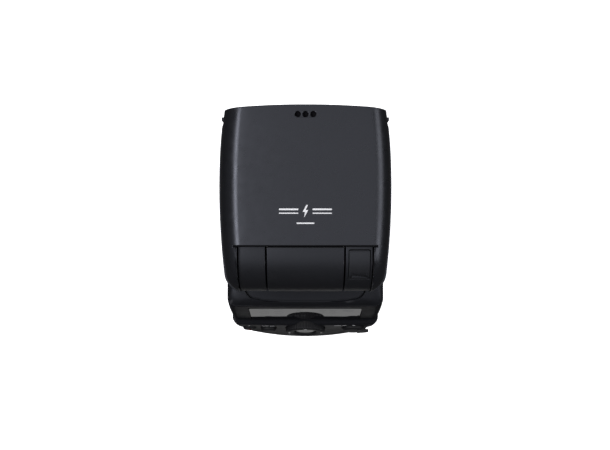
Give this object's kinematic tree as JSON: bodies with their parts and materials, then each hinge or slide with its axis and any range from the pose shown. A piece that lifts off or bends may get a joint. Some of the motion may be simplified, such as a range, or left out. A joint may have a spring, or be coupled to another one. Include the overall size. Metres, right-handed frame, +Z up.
{
  "type": "speedlight flash",
  "caption": "Hot-shoe flash with a tilting and swivelling zoom head, pull-out panels, a sloped display panel, a dial, buttons, a battery door and a locking foot.",
  "frame": {"origin": "middle of the shoe foot's underside, where it meets the camera's shoe", "axes": "+Z up out of the camera's shoe, +Y where the flash fires, +X to the right seen from behind"},
  "size_m": [0.0682, 0.0998, 0.1234],
  "materials": {
    "case": "fine-grained charcoal black polycarbonate",
    "barrel": "satin black polycarbonate",
    "gloss": "gloss black plastic",
    "inner": "moulded black plastic",
    "white": "white card of bounce plastic",
    "clear": "clear acrylic",
    "tube_glass": "clear quartz glass",
    "red_window": "deep red infrared-pass plastic",
    "rubber": "matte black rubber",
    "display": "grey liquid crystal display",
    "board": "green solder-masked circuit board",
    "sleeve": "aluminium can in a black shrink sleeve",
    "cell": "steel can in a pale printed wrap",
    "steel": "nickel-plated steel",
    "brass": "gold-plated brass",
    "mirror_metal": "polished bright-anodised sheet"
  },
  "bodies": {
    "body": {"front_case": "case", "rear_case": "case", "display_window": "clear", "lcd_module": "display", "main_board": "board", "main_capacitor": "sleeve", "transformer": "inner", "battery_holder": "inner", "aa_cell_1": "cell", "aa_cell_2": "cell", "aa_cell_3": "cell", "aa_cell_4": "cell", "battery_contact_plate": "brass", "door_hinge_pin": "steel", "af_beam_window": "red_window", "case_screw_1": "steel", "case_screw_2": "steel", "case_screw_3": "steel", "case_screw_4": "steel", "foot_pedestal": "case", "shoe_foot": "steel", "contact_block": "inner"},
    "neck": {"neck_rear_shell": "barrel", "neck_front_shell": "barrel", "turntable": "barrel", "swivel_ring": "steel", "tilt_axle": "steel"},
    "head": {"head_top_cover": "case", "head_bottom_cover": "case", "front_bezel": "gloss", "fresnel_panel": "clear", "panel_guide": "inner", "guide_rod_left": "steel", "guide_rod_right": "steel", "zoom_motor": "steel", "head_board": "board", "hinge_hub_left": "barrel", "hinge_hub_right": "barrel"},
    "tilt_release": {"tilt_release_button": "barrel"},
    "zoom_unit": {"zoom_carriage": "inner", "reflector": "mirror_metal", "flash_tube": "tube_glass"},
    "zoom_screw": {"zoom_lead_screw": "steel"},
    "wide_panel": {"wide_panel": "clear"},
    "catchlight": {"catchlight_panel": "white"},
    "door": {"battery_door": "case", "door_contact": "brass"},
    "latch": {"door_latch": "rubber"},
    "test": {"test_button": "rubber"},
    "mode": {"mode_button": "rubber"},
    "set": {"set_button": "gloss"},
    "dial": {"select_dial": "rubber"},
    "power": {"power_lever": "rubber"},
    "lock_lever": {"lock_lever": "rubber"},
    "lock_pin": {"lock_pin": "steel"},
    "contact_1": {"contact_pin_1": "brass"},
    "contact_2": {"contact_pin_2": "brass"},
    "contact_3": {"contact_pin_3": "brass"},
    "contact_4": {"contact_pin_4": "brass"},
    "contact_5": {"contact_pin_5": "brass"}
  },
  "joints": [
    {"name": "swivel", "type": "hinge", "parent": "body", "child": "neck", "pos_m": [0, 0.005, 0.0767], "axis": [0, 0, 1], "range_deg": [-180, 150]},
    {"name": "tilt", "type": "hinge", "parent": "neck", "child": "head", "pos_m": [0, 0.005, 0.102], "axis": [1, 0, 0], "range_deg": [0, 90]},
    {"name": "tilt_release_press", "type": "slide", "parent": "head", "child": "tilt_release", "axis": [0, 0.4067, -0.9135], "range_m": [0, 0.0015], "stiffness_N_per_m": 400},
    {"name": "zoom_travel", "type": "slide", "parent": "head", "child": "zoom_unit", "axis": [0, 1, 0], "range_m": [0, 0.01]},
    {"name": "zoom_screw_turn", "type": "hinge", "parent": "head", "child": "zoom_screw", "pos_m": [0.012, 0.027, 0.084], "axis": [0, 1, 0], "range_deg": [0, 901]},
    {"name": "wide_panel_pull", "type": "slide", "parent": "head", "child": "wide_panel", "axis": [0, 1, 0], "range_m": [0, 0.027]},
    {"name": "catchlight_pull", "type": "slide", "parent": "head", "child": "catchlight", "axis": [0, 1, 0], "range_m": [0, 0.027]},
    {"name": "battery_door_swing", "type": "hinge", "parent": "body", "child": "door", "pos_m": [-0.0312, -0.002, 0.0176], "axis": [0, -1, 0], "range_deg": [0, 95]},
    {"name": "door_latch_slide", "type": "slide", "parent": "door", "child": "latch", "axis": [0, 1, 0], "range_m": [0, 0.003]},
    {"name": "test_press", "type": "slide", "parent": "body", "child": "test", "axis": [0, 0.9426, -0.3338], "range_m": [0, 0.0008], "stiffness_N_per_m": 300},
    {"name": "mode_press", "type": "slide", "parent": "body", "child": "mode", "axis": [0, 0.9426, -0.3338], "range_m": [0, 0.0008], "stiffness_N_per_m": 300},
    {"name": "set_press", "type": "slide", "parent": "body", "child": "set", "axis": [0, 0.9426, -0.3338], "range_m": [0, 0.0007], "stiffness_N_per_m": 300},
    {"name": "dial_turn", "type": "hinge", "parent": "body", "child": "dial", "pos_m": [0, -0.03599, 0.03852], "axis": [0, -0.9426, 0.3338], "continuous": true},
    {"name": "power_lever_turn", "type": "hinge", "parent": "body", "child": "power", "pos_m": [0.0226, -0.03599, 0.03852], "axis": [0, -0.9426, 0.3338], "range_deg": [0, 50]},
    {"name": "lock_lever_turn", "type": "hinge", "parent": "body", "child": "lock_lever", "pos_m": [0, 0, 0.0075], "axis": [0, 0, 1], "range_deg": [0, 70]},
    {"name": "lock_pin_drop", "type": "slide", "parent": "body", "child": "lock_pin", "axis": [0, 0, -1], "range_m": [0, 0.0013]},
    {"name": "contact_1_press", "type": "slide", "parent": "body", "child": "contact_1", "axis": [0, 0, 1], "range_m": [0, 0.0005], "stiffness_N_per_m": 100},
    {"name": "contact_2_press", "type": "slide", "parent": "body", "child": "contact_2", "axis": [0, 0, 1], "range_m": [0, 0.0005], "stiffness_N_per_m": 100},
    {"name": "contact_3_press", "type": "slide", "parent": "body", "child": "contact_3", "axis": [0, 0, 1], "range_m": [0, 0.0005], "stiffness_N_per_m": 100},
    {"name": "contact_4_press", "type": "slide", "parent": "body", "child": "contact_4", "axis": [0, 0, 1], "range_m": [0, 0.0005], "stiffness_N_per_m": 100},
    {"name": "contact_5_press", "type": "slide", "parent": "body", "child": "contact_5", "axis": [0, 0, 1], "range_m": [0, 0.0005], "stiffness_N_per_m": 100}
  ],
  "couplings": [
    {"joint": "zoom_screw_turn", "follows": "zoom_travel", "rad_per_m": 1570.8},
    {"joint": "lock_pin_drop", "follows": "lock_lever_turn", "m_per_rad": 0.00106}
  ]
}
